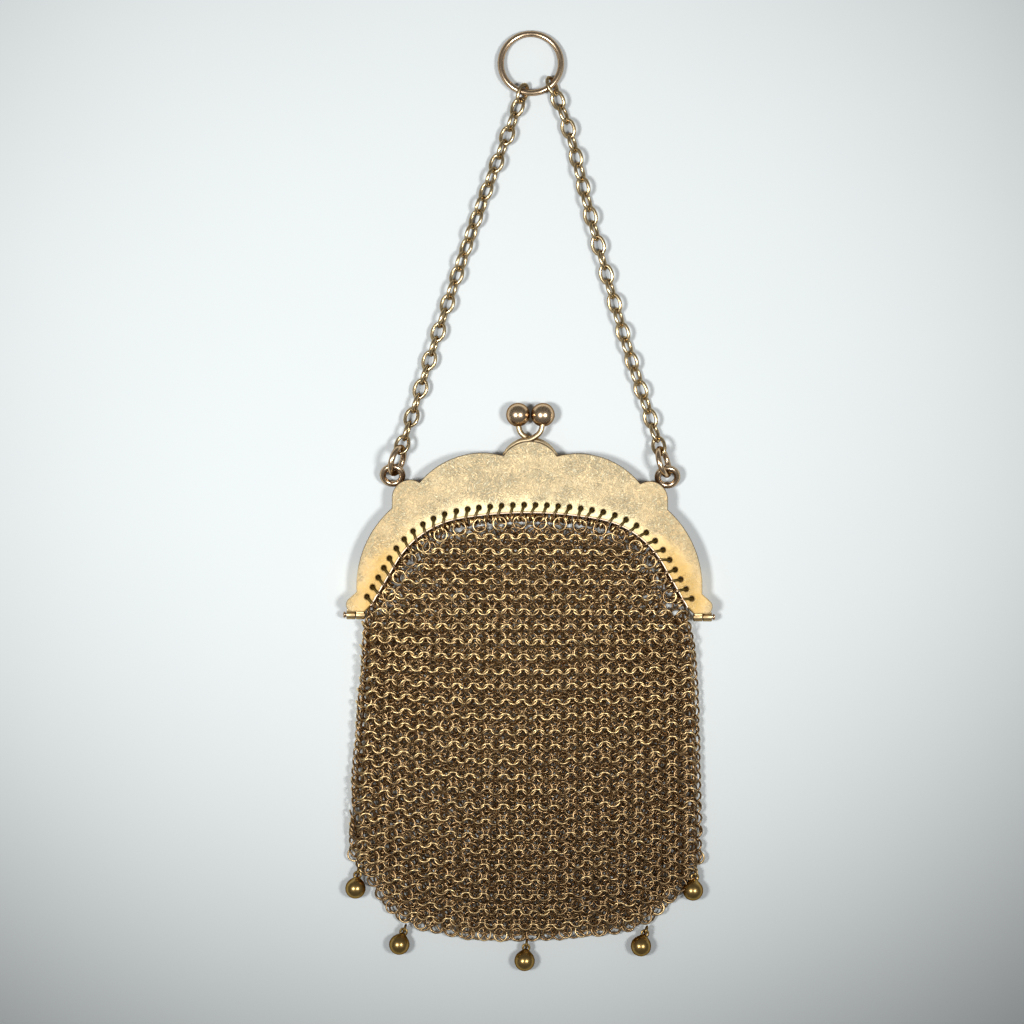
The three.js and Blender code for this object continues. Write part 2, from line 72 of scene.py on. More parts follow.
class Field:
    """A value that varies over a surface: what a node gives out, with the sums written on it."""

    def __init__(self, finish, socket):
        self.finish = finish
        self.socket = socket

    def sum(self, operation, *terms):
        return self.finish.add("ShaderNodeMath", {"operation": operation}, dict(enumerate(terms)))

    def __add__(self, other):
        return self.sum("ADD", self, other)

    def __sub__(self, other):
        return self.sum("SUBTRACT", self, other)

    def __mul__(self, other):
        return self.sum("MULTIPLY", self, other)

    def __truediv__(self, other):
        return self.sum("DIVIDE", self, other)

    def __pow__(self, other):
        return self.sum("POWER", self, other)

    def __radd__(self, other):
        return self.sum("ADD", other, self)

    def __rsub__(self, other):
        return self.sum("SUBTRACT", other, self)

    def __rmul__(self, other):
        return self.sum("MULTIPLY", other, self)


class Finish:
    """One surface finish: a Principled shader with its constants, and the nodes that vary it."""

    def __init__(self, name, **constants):
        self.material = bpy.data.materials.new(name)
        self.material.use_nodes = True
        self.nodes = self.material.node_tree.nodes
        self.links = self.material.node_tree.links
        self.shader = self.nodes["Principled BSDF"]
        self.drive(**constants)

    def join(self, value, socket):
        if isinstance(value, Field):
            self.links.new(value.socket, socket)
        else:
            socket.default_value = value

    def drive(self, **values):
        """Sets or links the shader's sockets, named with _ for a space."""
        for name, value in values.items():
            self.join(value, self.shader.inputs[name.replace("_", " ")])

    def add(self, kind, settings, sockets, output=0):
        """Adds a node, sets it up, joins its sockets and gives one of its outputs."""
        node = self.nodes.new(kind)
        for name, value in settings.items():
            setattr(node, name, value)
        for name, value in sockets.items():
            self.join(value, node.inputs[name])
        return Field(self, node.outputs[output])

    def place(self):
        """The surface point in millimetres."""
        point = self.add("ShaderNodeTexCoord", {}, {}, "Object")
        per_mm = (1 / mm, 1 / mm, 1 / mm)
        return self.add("ShaderNodeVectorMath", {"operation": "MULTIPLY"}, {0: point, 1: per_mm})

    def axis(self, point, number):
        """One of the three parts of a point or a direction."""
        return self.add("ShaderNodeSeparateXYZ", {}, {0: point}, number)

    def mark(self, name):
        """A value that the mesh holds at each of its points."""
        return self.add("ShaderNodeAttribute", {"attribute_name": name}, {}, "Fac")

    def noise(self, point, scale, detail=3, roughness=0.5):
        sockets = {"Vector": point, "Scale": scale, "Detail": detail, "Roughness": roughness}
        return self.add("ShaderNodeTexNoise", {}, sockets)

    def ease(self, value, low, high, to_low=0, to_high=1):
        """A smooth step from to_low, where value is low, to to_high, where it is high."""
        sockets = {"Value": value, 1: low, 2: high, 3: to_low, 4: to_high}
        return self.add("ShaderNodeMapRange", {"interpolation_type": "SMOOTHSTEP"}, sockets)

    def blend(self, share, first, second):
        """A colour between two others."""
        first, second = (c if isinstance(c, Field) else (*c, 1) for c in (first, second))
        return self.add("ShaderNodeMix", {"data_type": "RGBA"}, {"Factor": share, 6: first, 7: second}, 2)

    def bump(self, height, depth, strength=1):
        """Drives the shader's normal with a relief of a given depth."""
        sockets = {"Height": height, "Distance": depth, "Strength": strength}
        self.drive(Normal=self.add("ShaderNodeBump", {}, sockets))


def new_object(name, data):
    made = bpy.data.objects.new(name, data)
    bpy.context.scene.collection.objects.link(made)
    return made


half = table_size / 2
table_mesh = bpy.data.meshes.new("table")
table_corners = [(x * half, y * half, table_level) for x, y in ((-1, -1), (1, -1), (1, 1), (-1, 1))]
table_mesh.from_pydata(table_corners, [], [(0, 1, 2, 3)])
table = new_object("table", table_mesh)
table_finish = Finish("pale_table", Roughness=0.65)
table_patches = table_finish.noise(table_finish.place(), table_patch_scale)
table_dull = [c * table_patch_shade for c in table_colour]
table_finish.drive(Base_Color=table_finish.blend(table_patches, table_colour, table_dull))
table_mesh.materials.append(table_finish.material)

world = bpy.data.worlds.new("dim_room")
world.use_nodes = True
world.node_tree.nodes["Background"].inputs["Color"].default_value = (*room_light, 1)
bpy.context.scene.world = world
for side, name, power in zip((-1, 1), ("lamp_left", "lamp_right"), lamp_powers):
    lamp_data = bpy.data.lights.new(name, "SPOT")
    lamp_data.shadow_soft_size = lamp_radius
    lamp_data.energy = power
    lamp_data.spot_size = lamp_spread
    lamp_data.spot_blend = 1
    lamp = new_object(name, lamp_data)
    lamp.location = (photo_centre[0] + side * lamp_reach, photo_centre[1] - lamp_back, lamp_height)
    aim = lamp.location - Vector(lit_spot)
    lamp.rotation_euler = aim.to_track_quat("Z", "Y").to_euler()

camera_data = bpy.data.cameras.new("camera")
camera_data.lens = lens
camera_data.clip_start = 10 * mm
camera = new_object("camera", camera_data)
camera_height = photo_side * photo_scale * lens / camera_data.sensor_width + photo_level
camera.location = (*photo_centre, camera_height)
camera.rotation_euler = (0, 0, photo_turn)
bpy.context.scene.camera = camera
bpy.context.scene.view_settings.view_transform = "Standard"

# Frame plates
# Two arched halves of gold sheet close face to face. Each is cut out, pierced along the arch for sewing,
# and has its outer edge turned over into a rim. The face is scratched all over in short strokes, and is
# left smooth by the holes.

seat_gap = 0.3
frame_depth = 5.6
half_depth = (frame_depth - seat_gap) / 2
plate_thickness = 0.9
plate_rounding = 0.34
rim_width = 0.9
rim_rounding = 0.2
arch_top = -8.7
crown_radius = 96
crown_angle = math.radians(10)
shoulder_radius = 22.1
leg_angle = math.radians(60)
leg_length = 11.9
hump_half_width = 6.4
hump_top = 8.3
hump_rise = 3.5
shoulder_rise = 3.1
lug_lobe_rise = 2.3
side_lobe_rise = 2.5
foot_rise = 1
lug_half_span = 33
holes_per_side = 18
hole_radius = 0.6
hole_inset = 1.8
hump_steps = 24
arch_steps = 60
arch_middle = 0.4
smooth_band_half_width = 38
smooth_band_half_height = 22.3
smooth_band_middle = -31
coarse_stroke = (1.7, 1.5, 0.2)  # size of a patch that lies one way, then a stroke's length and width
fine_stroke = (0.9, 0.9, 0.11)
stroke_depth = 0.12 * mm
rounded_edge = (7.1, 7.8)  # squares of how far from the frame's middle level the face rounds off
pale_gold = (0.97, 0.79, 0.49)
warm_gold = (1.0, 0.86, 0.49)
foot_gold = (0.70, 0.47, 0.16)
stroke_gold = (1.0, 0.91, 0.66)
pit_brown = (0.34, 0.25, 0.14)
# Painted shade for the plate's rounded outer edge, where the other half of the frame shades it
edge_shade_brown = (0.20, 0.12, 0.06)


def arc(start, end, rise, steps=16):
    """Points past start, up to end, on the arc that stands out by rise to the left of the way there."""
    chord = np.subtract(end, start)
    length = math.hypot(*chord)
    radius = length**2 / (8 * rise) + rise / 2
    turns = math.asin(min(1, length / 2 / radius)) * np.linspace(-1, 1, steps + 1)[1:]
    along = (0.5 + radius * np.sin(turns) / length)[:, None]
    out = (rise - radius * (1 - np.cos(turns)))[:, None]
    return np.asarray(start) + chord * along + np.array((-chord[1], chord[0])) / length * out


crown_length = crown_radius * crown_angle
shoulder_length = shoulder_radius * (leg_angle - crown_angle)
arch_length = crown_length + shoulder_length + leg_length


def arch(length, outwards=0.0):
    """Points on the arch's right half, at lengths along it, moved outwards into the plate."""
    length = np.asarray(length, float)
    crown = np.minimum(length, crown_length) / crown_radius
    shoulder = np.clip(length - crown_length, 0, shoulder_length) / shoulder_radius
    leg = np.maximum(0, length - crown_length - shoulder_length)
    turn = crown + shoulder
    x = crown_radius * np.sin(crown) + shoulder_radius * (np.sin(turn) - np.sin(crown))
    x += leg * np.cos(turn)
    down = crown_radius * (1 - np.cos(crown)) + shoulder_radius * (np.cos(crown) - np.cos(turn))
    down += leg * np.sin(turn)
    return np.stack((x + outwards * np.sin(turn), arch_top - down + outwards * np.cos(turn)), -1)


def mirrored(points):
    """The same points on the other half, in the reverse order."""
    return np.asarray(points)[::-1] * (-1, 1)


leg_end = arch(arch_length)
hump_foot = np.array((hump_half_width, hump_top - hump_rise))
lug_notch = (lug_half_span - 6.6, -1.7)
lug_lobe_end = (lug_half_span, -5.6)
side_notch = (lug_half_span, -7.9)
side_lobe_end = leg_end + (3.4, 3.2)
foot_top = leg_end + (5.2, 1.6)
foot_outer = leg_end + (4.6, -1.6)
foot_inner = leg_end + (1.5, -1.6)
right_edge = np.vstack([
    arc(hump_foot * (-1, 1), hump_foot, hump_rise, hump_steps)[hump_steps // 2 - 1:],
    arc(hump_foot, lug_notch, shoulder_rise),
    arc(lug_notch, lug_lobe_end, lug_lobe_rise),
    [side_notch],
    arc(side_notch, side_lobe_end, side_lobe_rise),
    [foot_top],
])
rim_edge = np.vstack([mirrored(right_edge[1:]), right_edge])
right_foot = np.vstack([arc(foot_top, foot_outer, foot_rise, 8), [foot_inner]])
right_arch = arch(np.linspace(arch_length, arch_middle, arch_steps))
plate_edge = np.vstack([rim_edge, right_foot, right_arch, mirrored(right_arch), mirrored(right_foot)])
hole_steps = (np.arange(holes_per_side) + 0.5) * arch_length / holes_per_side
hole_spots = arch(hole_steps, hole_inset)
hole_spots = np.vstack([hole_spots, mirrored(hole_spots)])


def circle(centre, radius):
    turns = np.linspace(0, 2 * math.pi, 16, endpoint=False)
    return np.asarray(centre) + radius * np.stack((np.cos(turns), np.sin(turns)), -1)


def inset_strip(edge, width):
    """The strip just inside an edge, as one closed outline."""
    way = np.gradient(edge, axis=0)
    inwards = np.stack((way[:, 1], -way[:, 0]), -1) / np.linalg.norm(way, axis=1)[:, None]
    return np.vstack([edge, (edge + inwards * width)[::-1]])


def sheet_metal(outlines, low, high, rounding):
    """The mesh of a flat piece cut from sheet, from height low to high, with rounded edges."""
    curve = bpy.data.curves.new("outline", "CURVE")
    curve.dimensions = "2D"
    curve.fill_mode = "BOTH"
    curve.extrude = ((high - low) / 2 - rounding) * mm
    curve.bevel_depth = rounding * mm
    curve.offset = -rounding * mm
    curve.bevel_resolution = 3
    for outline in outlines:
        spline = curve.splines.new("POLY")
        spline.points.add(len(outline) - 1)
        for spot, (x, y) in zip(spline.points, outline):
            spot.co = (x * mm, y * mm, 0, 1)
        spline.use_cyclic_u = True
    cut = new_object("outline", curve)
    mesh = bpy.data.meshes.new_from_object(cut.evaluated_get(bpy.context.evaluated_depsgraph_get()))
    bpy.data.objects.remove(cut)
    mesh.transform(Matrix.Translation((0, 0, (low + high) / 2 * mm)))
    return mesh


def mesh_of(points, faces):
    """A mesh from points in millimetres."""
    mesh = bpy.data.meshes.new("part")
    corners = (np.asarray(points).reshape(-1, 3) * mm).tolist()
    mesh.from_pydata(corners, [], [tuple(face) for face in faces])
    return mesh


def piece(name, meshes, finish, slot, *nodes, sharp=40):
    """One shown piece from its meshes, in place of the CAD nodes that it stands for."""
    made = new_object(name, bpy.data.meshes.new(name))
    parts = [new_object(name + "_part", mesh) for mesh in meshes]
    for part in parts:
        part.data.materials.clear()
    with bpy.context.temp_override(active_object=made, selected_editable_objects=[made, *parts]):
        bpy.ops.object.join()
    made.data.materials.append(finish.material)
    made.data.polygons.foreach_set("use_smooth", [True] * len(made.data.polygons))
    made.data.set_sharp_from_angle(angle=math.radians(sharp))
    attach(made, "root")
    if nodes:
        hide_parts(*nodes)
    return made


def turned_over(mesh):
    """The same mesh turned face down, from the back half of the frame to the front."""
    turned = mesh.copy()
    turned.transform(Matrix.Rotation(math.pi, 4, "Y"))
    turned.transform(Matrix.Translation((0, 0, frame_depth * mm)))
    return turned


def strokes(finish, patch, length, width):
    """Short scratches that lie one way within each small patch of the surface."""
    point = finish.place()
    patches = {"Vector": point, "Scale": 1 / patch, "Randomness": 1}
    way = finish.add("ShaderNodeTexVoronoi", {}, patches, "Color")
    angle = finish.add("ShaderNodeSeparateColor", {}, {0: way}) * math.tau
    turn = {"Vector": point, "Angle": angle}
    lay = finish.add("ShaderNodeVectorRotate", {"rotation_type": "Z_AXIS"}, turn)
    stretch = {0: lay, 1: (1 / length, 1 / width, 1)}
    drawn = finish.add("ShaderNodeVectorMath", {"operation": "MULTIPLY"}, stretch)
    return finish.noise(drawn, 1, 2, 0.6)


plate_finish = Finish("scratched_gold", Metallic=1)
plate_point = plate_finish.place()
plate_x, plate_y, plate_z = (plate_finish.axis(plate_point, number) for number in range(3))
from_middle = (plate_x / smooth_band_half_width) ** 2
past_arch = from_middle + ((plate_y - smooth_band_middle) / smooth_band_half_height) ** 2
wander = plate_finish.noise(plate_point, 0.22) - 0.5
scratched = plate_finish.ease(past_arch + wander * 0.5, 1.12, 1.5, 0.22, 1)
coarse_strokes = strokes(plate_finish, *coarse_stroke)
fine_strokes = strokes(plate_finish, *fine_stroke)
worked = 0.55 + 0.45 * plate_finish.ease(plate_finish.noise(plate_point, 0.2, 1), 0.4, 0.6)
all_strokes = coarse_strokes * 0.55 + fine_strokes * 0.45
cut_strokes = plate_finish.ease(all_strokes, 0.43, 0.6) * worked
dents = plate_finish.noise(plate_point, 0.35, 4, 0.6)
to_side = plate_finish.ease(from_middle, 0.2, 0.9)
band_tone = plate_finish.blend(to_side, warm_gold, foot_gold)
off_band = plate_finish.ease(past_arch + wander * 0.4, 1.0, 1.5)
gold_tone = plate_finish.blend(off_band, band_tone, pale_gold)
plate_tone = plate_finish.blend(cut_strokes * scratched, gold_tone, stroke_gold)
pits = plate_finish.ease(plate_finish.noise(plate_point, 1.1, 4, 0.7), 0.56, 0.7) * scratched
worn_tone = plate_finish.blend(pits * 0.3, plate_tone, pit_brown)
# Painted shade: the rounded outer edge of each plate, off its face and past the arch, is darkened brown
off_face = plate_finish.ease((plate_z - frame_depth / 2) ** 2, *rounded_edge, 1, 0)
painted_edge_shade = off_face * plate_finish.ease(past_arch, 1.25, 1.4)
plate_finish.drive(
    Base_Color=plate_finish.blend(painted_edge_shade, worn_tone, edge_shade_brown),
    Roughness=0.45 + 0.2 * scratched + 0.1 * to_side + 0.08 * dents,
)
plate_finish.bump(cut_strokes * scratched + dents * 0.5, stroke_depth)

plate_holes = [circle(spot, hole_radius) for spot in hole_spots]
plate = sheet_metal([plate_edge, *plate_holes], 0, plate_thickness, plate_rounding)
rim = sheet_metal([inset_strip(rim_edge, rim_width)], plate_thickness / 2, half_depth, rim_rounding)
piece("plate_back", [plate, rim], plate_finish, "frame_gold", "frame_back")
plate_and_rim = [turned_over(plate), turned_over(rim)]
piece("plate_front", plate_and_rim, plate_finish, "frame_gold", "frame_front")

# Clasp
# A kiss clasp: each half of the frame carries a round ball on an arm, which is soldered along the hump and
# thickens as it leaves it. The arms cross, so that the balls snap past each other. The balls are polished
# and redder than the plates, and the arms are rubbed. Both have painted shade on their sides.

clasp_radius = 2.85
clasp_gap = 0.25
clasp_rise = 6.4
clasp_lift = 0.15
clasp_spot = np.array((clasp_radius + clasp_gap / 2, hump_top + clasp_rise))
arm_depth = 1.6
arm_end_width = 1.25
arm_widths = ((0, 0.6), (0.25, 1.1), (0.5, 1.45), (1, arm_end_width))  # share of its length, width
arm_seats = ((0.98, 0.16), (0.66, 0.25), (0.33, 0.34), (0, 0.44))  # share of the hump's angle, height over it
arm_bend = (0.75, 0.32)  # shares of the ball's place beside and over the hump's top
arm_steps = 40
hairline = (1.1, 1.4, 0.08)
hairline_depth = 0.012 * mm
# Painted shade: a dark brown tint for the metal's grazing reflections, so polished parts look shaded at their
# outlines
edge_shade_tint = (0.4, 0.28, 0.18, 1)
rose_gold = (0.85, 0.63, 0.41)
rose_shade = (0.52, 0.345, 0.215)
# Painted shade for the sides of the polished rose gold parts
rose_side_shade = (0.21, 0.12, 0.065)
arm_gold = (0.97, 0.77, 0.47)
arm_shade = (0.66, 0.45, 0.22)
# Painted shade for the sides of the arms, and by default for the sides of other polished parts
arm_side_shade = (0.33, 0.2, 0.08)
painted_side_shade = (0.2, 0.11, 0.05)


def smooth_line(points, steps):
    """A smooth line through a few points, evenly stepped along its length."""
    points = np.asarray(points, float)
    padded = np.vstack([2 * points[0] - points[1], points, 2 * points[-1] - points[-2]])
    share = np.linspace(0, 1, 24, endpoint=False)[:, None]
    dense = [
        b + 0.5 * share * (c - a + share * (2 * a - 5 * b + 4 * c - d + share * (3 * (b - c) + d - a)))
        for a, b, c, d in zip(padded, padded[1:], padded[2:], padded[3:])
    ]
    dense = np.vstack([*dense, points[-1:]])
    along = np.concatenate([[0], np.cumsum(np.linalg.norm(np.diff(dense, axis=0), axis=1))])
    even = np.linspace(0, along[-1], steps)
    return np.stack([np.interp(even, along, column) for column in dense.T], -1)


def swept(line, width, height, sides=12, square=4):
    """A rounded bar along a level line, with a width and a height at each point and flat ends."""
    steps = len(line)
    way = np.gradient(line, axis=0)
    across = np.cross((0, 0, 1), way)
    across /= np.linalg.norm(across, axis=1)[:, None]
    turns = np.linspace(0, 2 * math.pi, sides, endpoint=False)
    c, s = np.cos(turns), np.sin(turns)
    fullness = (np.abs(c) ** square + np.abs(s) ** square) ** (-1 / square)
    wide = np.broadcast_to(width, steps)[:, None, None] / 2 * (c * fullness)[None, :, None]
    high = np.broadcast_to(height, steps)[:, None, None] / 2 * (s * fullness)[None, :, None]
    points = line[:, None, :] + across[:, None, :] * wide + np.array((0, 0, 1)) * high
    index = np.arange(steps * sides).reshape(steps, sides)
    after = np.roll(index, -1, 1)
    faces = np.stack([index[:-1], after[:-1], after[1:], index[1:]], -1).reshape(-1, 4).tolist()
    faces += [index[0][::-1].tolist(), index[-1].tolist()]
    return mesh_of(points, faces)


def lathed(profile, centre, steps=48, axis=2):
    """A profile of (radius, height) pairs turned about an axis, closed at both ends on the axis."""
    turns = np.linspace(0, 2 * math.pi, steps, endpoint=False)
    radius, height = np.asarray(profile)[1:-1].T
    grid = np.stack([
        radius[:, None] * np.cos(turns),
        radius[:, None] * np.sin(turns),
        height[:, None] + 0 * turns,
    ], -1)
    grid = np.roll(grid, (axis + 1) % 3, -1)
    ends = np.zeros((2, 3))
    ends[:, axis] = profile[0][1], profile[-1][1]
    index = np.arange(grid.shape[0] * steps).reshape(-1, steps)
    after = np.roll(index, -1, 1)
    faces = np.stack([index[:-1], after[:-1], after[1:], index[1:]], -1).reshape(-1, 4).tolist()
    low, high = index.size, index.size + 1
    faces += [[low, after[0][i], index[0][i]] for i in range(steps)]
    faces += [[high, index[-1][i], after[-1][i]] for i in range(steps)]
    return mesh_of(np.vstack([grid.reshape(-1, 3), ends]) + np.asarray(centre), faces)


def ball(centre, radius):
    """A whole ball, as a turned profile."""
    turns = np.linspace(-math.pi / 2, math.pi / 2, 25)
    return lathed(np.stack((radius * np.cos(turns), radius * np.sin(turns)), -1), centre)


def polished(name, gold, shade, roughness, side_shade=painted_side_shade):
    """Polished gold with a bloom and hairline scratches, and painted shade on its sides."""
    finish = Finish(name, Metallic=1, Specular_Tint=edge_shade_tint)
    facing = finish.add("ShaderNodeNewGeometry", {}, {}, "Normal")
    bloom = finish.noise(finish.place(), 0.6, 4, 0.6)
    hairlines = strokes(finish, *hairline)
    # Painted shade: faces that turn away from straight up take the side shade colour
    shaded_sides = finish.ease(finish.axis(facing, 2) + 0.2 * bloom, 0.35, 0.8, 0.9, 0)
    unshaded_tone = finish.blend(finish.ease(bloom, 0.48, 0.85) * 0.6, gold, shade)
    finish.drive(
        Base_Color=finish.blend(shaded_sides, unshaded_tone, side_shade),
        Roughness=roughness + 0.10 * bloom + 0.08 * finish.ease(hairlines, 0.5, 0.7),
    )
    finish.bump(hairlines * 0.5 + bloom, hairline_depth, 0.6)
    return finish


rose_finish = polished("polished_rose_gold", rose_gold, rose_shade, 0.2, rose_side_shade)
arm_finish = polished("rubbed_arm_gold_side_shaded", arm_gold, arm_shade, 0.3, arm_side_shade)
hump_radius = (hump_half_width**2 + hump_rise**2) / (2 * hump_rise)
hump_half_angle = math.asin(hump_half_width / hump_radius)
arm_points = []
for share, seat in arm_seats:
    turn, out = hump_half_angle * share, hump_radius + seat
    arm_points.append((out * math.sin(turn), hump_top - hump_radius + out * math.cos(turn)))
arm_points.append((-arm_bend[0] * clasp_spot[0], hump_top + arm_bend[1] * clasp_rise))
arm_points.append((-clasp_spot[0], clasp_spot[1] - clasp_radius + arm_end_width / 2))
arm_height = half_depth - arm_depth / 2
arm_line = smooth_line([(x, y, arm_height) for x, y in arm_points], arm_steps)
arm_width = np.interp(np.linspace(0, 1, arm_steps), *zip(*arm_widths))
arm = swept(arm_line, arm_width, arm_depth, sides=20, square=2)
clasp_height = clasp_radius + clasp_lift
back_ball = ball((-clasp_spot[0], clasp_spot[1], clasp_height), clasp_radius)
front_ball = ball((-clasp_spot[0], clasp_spot[1], frame_depth - clasp_height), clasp_radius)
piece("clasp_arm_back", [arm], arm_finish, "rose_gold")
piece("clasp_arm_front", [turned_over(arm)], arm_finish, "rose_gold")
piece("clasp_ball_back", [back_ball], rose_finish, "rose_gold")
piece("clasp_ball_front", [turned_over(front_ball)], rose_finish, "rose_gold")

# Hinges
# At each foot the two halves have a knuckle each, rolled from sheet and soldered on by a short tab, and a
# headed pin runs through both.

knuckle_radius = 1.08
knuckle_length = 2.1
knuckle_gap = 0.2
knuckle_drop = 0.8
knuckle_y = foot_inner[1] - knuckle_drop
knuckle_rounding = 0.15
tab_margin = 0.06
tab_dip = 0.3
tab_rounding = 0.12
pin_radius = 0.4
pin_rounding = 0.1
pin_head_radius = 0.75
pin_head_length = 0.55
pin_head_rounding = 0.3
pin_head_overlap = 0.05
hinge_height = frame_depth / 2
hinge_gold = (0.74, 0.54, 0.28)
hinge_shade = (0.45, 0.29, 0.12)


def barrel(side, start, length, radius, rounding):
    """A short round bar along X, with rounded ends."""
    turns = np.linspace(0, math.pi / 2, 5)
    out, ahead = radius - rounding * (1 - np.cos(turns)), length / 2 - rounding * (1 - np.sin(turns))
    end = np.stack((out, ahead), -1)
    profile = np.vstack([[(0, -length / 2)], end[::-1] * (1, -1), end, [(0, length / 2)]])
    return lathed(profile, (side * (start + length / 2), knuckle_y, hinge_height), 32, 0)


def knuckle(side, start):
    """One knuckle and the tab that holds it to the back half's foot."""
    near, far = (side * (start + knuckle_length * share) for share in (tab_margin, 1 - tab_margin))
    top, bottom = foot_inner[1] + rim_width, knuckle_y + knuckle_radius * tab_dip
    tab_outline = [(near, top), (far, top), (far, bottom), (near, bottom)]
    tab = sheet_metal([tab_outline[::side]], plate_thickness / 2, hinge_height, tab_rounding)
    return [barrel(side, start, knuckle_length, knuckle_radius, knuckle_rounding), tab]


knuckle_start = foot_inner[0]
outer_start = knuckle_start + knuckle_length + knuckle_gap
back_knuckles = [mesh for side in (-1, 1) for mesh in knuckle(side, outer_start)]
front_knuckles = [turned_over(mesh) for side in (-1, 1) for mesh in knuckle(side, knuckle_start)]
hinge_finish = polished("hinge_gold", hinge_gold, hinge_shade, 0.3)
piece("knuckles_back", back_knuckles, hinge_finish, "rose_gold")
piece("knuckles_front", front_knuckles, hinge_finish, "rose_gold")
pin_reach = 2 * knuckle_length + knuckle_gap + seat_gap
for side, name in ((-1, "hinge_pin_left"), (1, "hinge_pin_right")):
    shank = barrel(side, knuckle_start, pin_reach, pin_radius, pin_rounding)
    head_start = knuckle_start + pin_reach - pin_head_overlap
    head = barrel(side, head_start, pin_head_length, pin_head_radius, pin_head_rounding)
    piece(name + "_shown", [shank, head], rose_finish, "rose_gold", name)

# Lug rings, jump rings and carrying ring
# Plain rings of round rose gold wire. The lugs are soldered behind the shoulders of the frame, a jump ring
# stands in each, and the large ring at the top joins the two ends of the chain and goes over a finger.

lug_radius = 2.35
lug_wire = 0.75
lug_pitch = math.radians(30)
lug_seat = 1.2
lug_height = half_depth - lug_wire + lug_seat * math.tan(lug_pitch)
jump_radius = 3.25
jump_wire = 0.7
jump_roll = math.radians(70)
jump_slack = 0.45
ring_radius = 7.25
ring_wire = 0.75
ring_spot = np.array((-0.4, 99.3))
end_link_roll = math.radians(80)
end_link_slack = 0.6
link_length = 5.2
link_width = 3.85
link_wire = 0.45
table_gap = 0.05


def loops(centres, along, across, half_length, half_width, wire, turns=48, sides=12):
    """Closed round wires bent to ellipses, one for each centre, with two unit vectors for their axes."""
    centres, along, across = (np.atleast_2d(np.asarray(v, float)) for v in (centres, along, across))
    normal = np.cross(along, across)
    bend = np.linspace(0, 2 * math.pi, turns, endpoint=False)
    girth = np.linspace(0, 2 * math.pi, sides, endpoint=False)[:, None]
    c, s = np.cos(bend)[None, :, None], np.sin(bend)[None, :, None]
    a, b = along[:, None, :], across[:, None, :]
    middle = centres[:, None, :] + half_length * c * a + half_width * s * b
    outward = half_width * c * a + half_length * s * b
    outward = outward / np.linalg.norm(outward, axis=2)[:, :, None]
    tube = np.cos(girth) * outward[:, :, None, :] + np.sin(girth) * normal[:, None, None, :]
    points = middle[:, :, None, :] + wire * tube
    index = np.arange(points[..., 0].size).reshape(points.shape[:3])
    ahead = np.roll(index, -1, 1)
    faces = np.stack([index, ahead, np.roll(ahead, -1, 2), np.roll(index, -1, 2)], -1)
    return points, faces.reshape(-1, 4)


def roll_across(along, roll):
    """The unit vector across a link that runs along a direction, rolled up from the table."""
    side = np.cross((0, 0, 1), along)
    side = side / np.linalg.norm(side)
    return side * math.cos(roll) + np.cross(along, side) * math.sin(roll)


def ring_mesh(centre, along, across, radius, wire, **steps):
    return mesh_of(*loops(centre, along, across, radius, radius, wire, **steps))


x_axis, z_axis = (1, 0, 0), (0, 0, 1)
lug_across = (0, math.cos(lug_pitch), math.sin(lug_pitch))
lug_spots = [(side * lug_half_span, 0, lug_height) for side in (-1, 1)]
lugs = [ring_mesh(spot, x_axis, lug_across, lug_radius, lug_wire) for spot in lug_spots]
piece("lug_rings", lugs, rose_finish, "rose_gold")

link_middle = (link_width / 2 - link_wire) * math.sin(end_link_roll) + link_wire
ring_tilt = math.asin((link_middle - ring_wire) / (2 * ring_radius - 2 * ring_wire))
ring_height = ring_wire + ring_radius * math.sin(ring_tilt) + table_gap
ring_across = (0, math.cos(ring_tilt), -math.sin(ring_tilt))
ring_centre = (*ring_spot, ring_height)
ring = ring_mesh(ring_centre, x_axis, ring_across, ring_radius, ring_wire, turns=96, sides=16)
piece("ring_shown", [ring], rose_finish, "rose_gold", "carrying_ring")

# Carrying chain
# A cable chain of oval links in round yellow gold wire, each soldered shut through the last. Two strands run
# from the jump rings to the large ring, and lie as they fell, so their links roll this way and that.

left_route = ((-27.6, 17), (-22.2, 34.7), (-13.5, 61.3), (-4.9, 84.8))
right_route = ((28.8, 14.2), (23.1, 31.5), (15.1, 59.1), (8.9, 82.9))
strand_spaces = 25
end_reach = 0.45
link_bend = 2.2
link_roll = 45
chain_gold = (0.78, 0.60, 0.345)
chain_shade = (0.34, 0.23, 0.11)
# Painted shade for the sides of the chain's links
chain_side_shade = (0.15, 0.085, 0.03)
strands = {  # ring is where on the carrying ring it hangs, and twist holds (link, roll), all in degrees
    "left": {
        "side": -1,
        "route": left_route,
        "ring": -105,
        "twist": ((0, 36), (9, 30), (14, 4), (18, 10), (22, 30), (25, 4)),
    },
    "right": {
        "side": 1,
        "route": right_route,
        "ring": -47,
        "twist": ((0, 20), (6, 6), (13, 26), (19, 8), (22, 24), (25, 4)),
    },
}
chain_finish = polished("worn_chain_gold_side_shaded", chain_gold, chain_shade, 0.2, chain_side_shade)

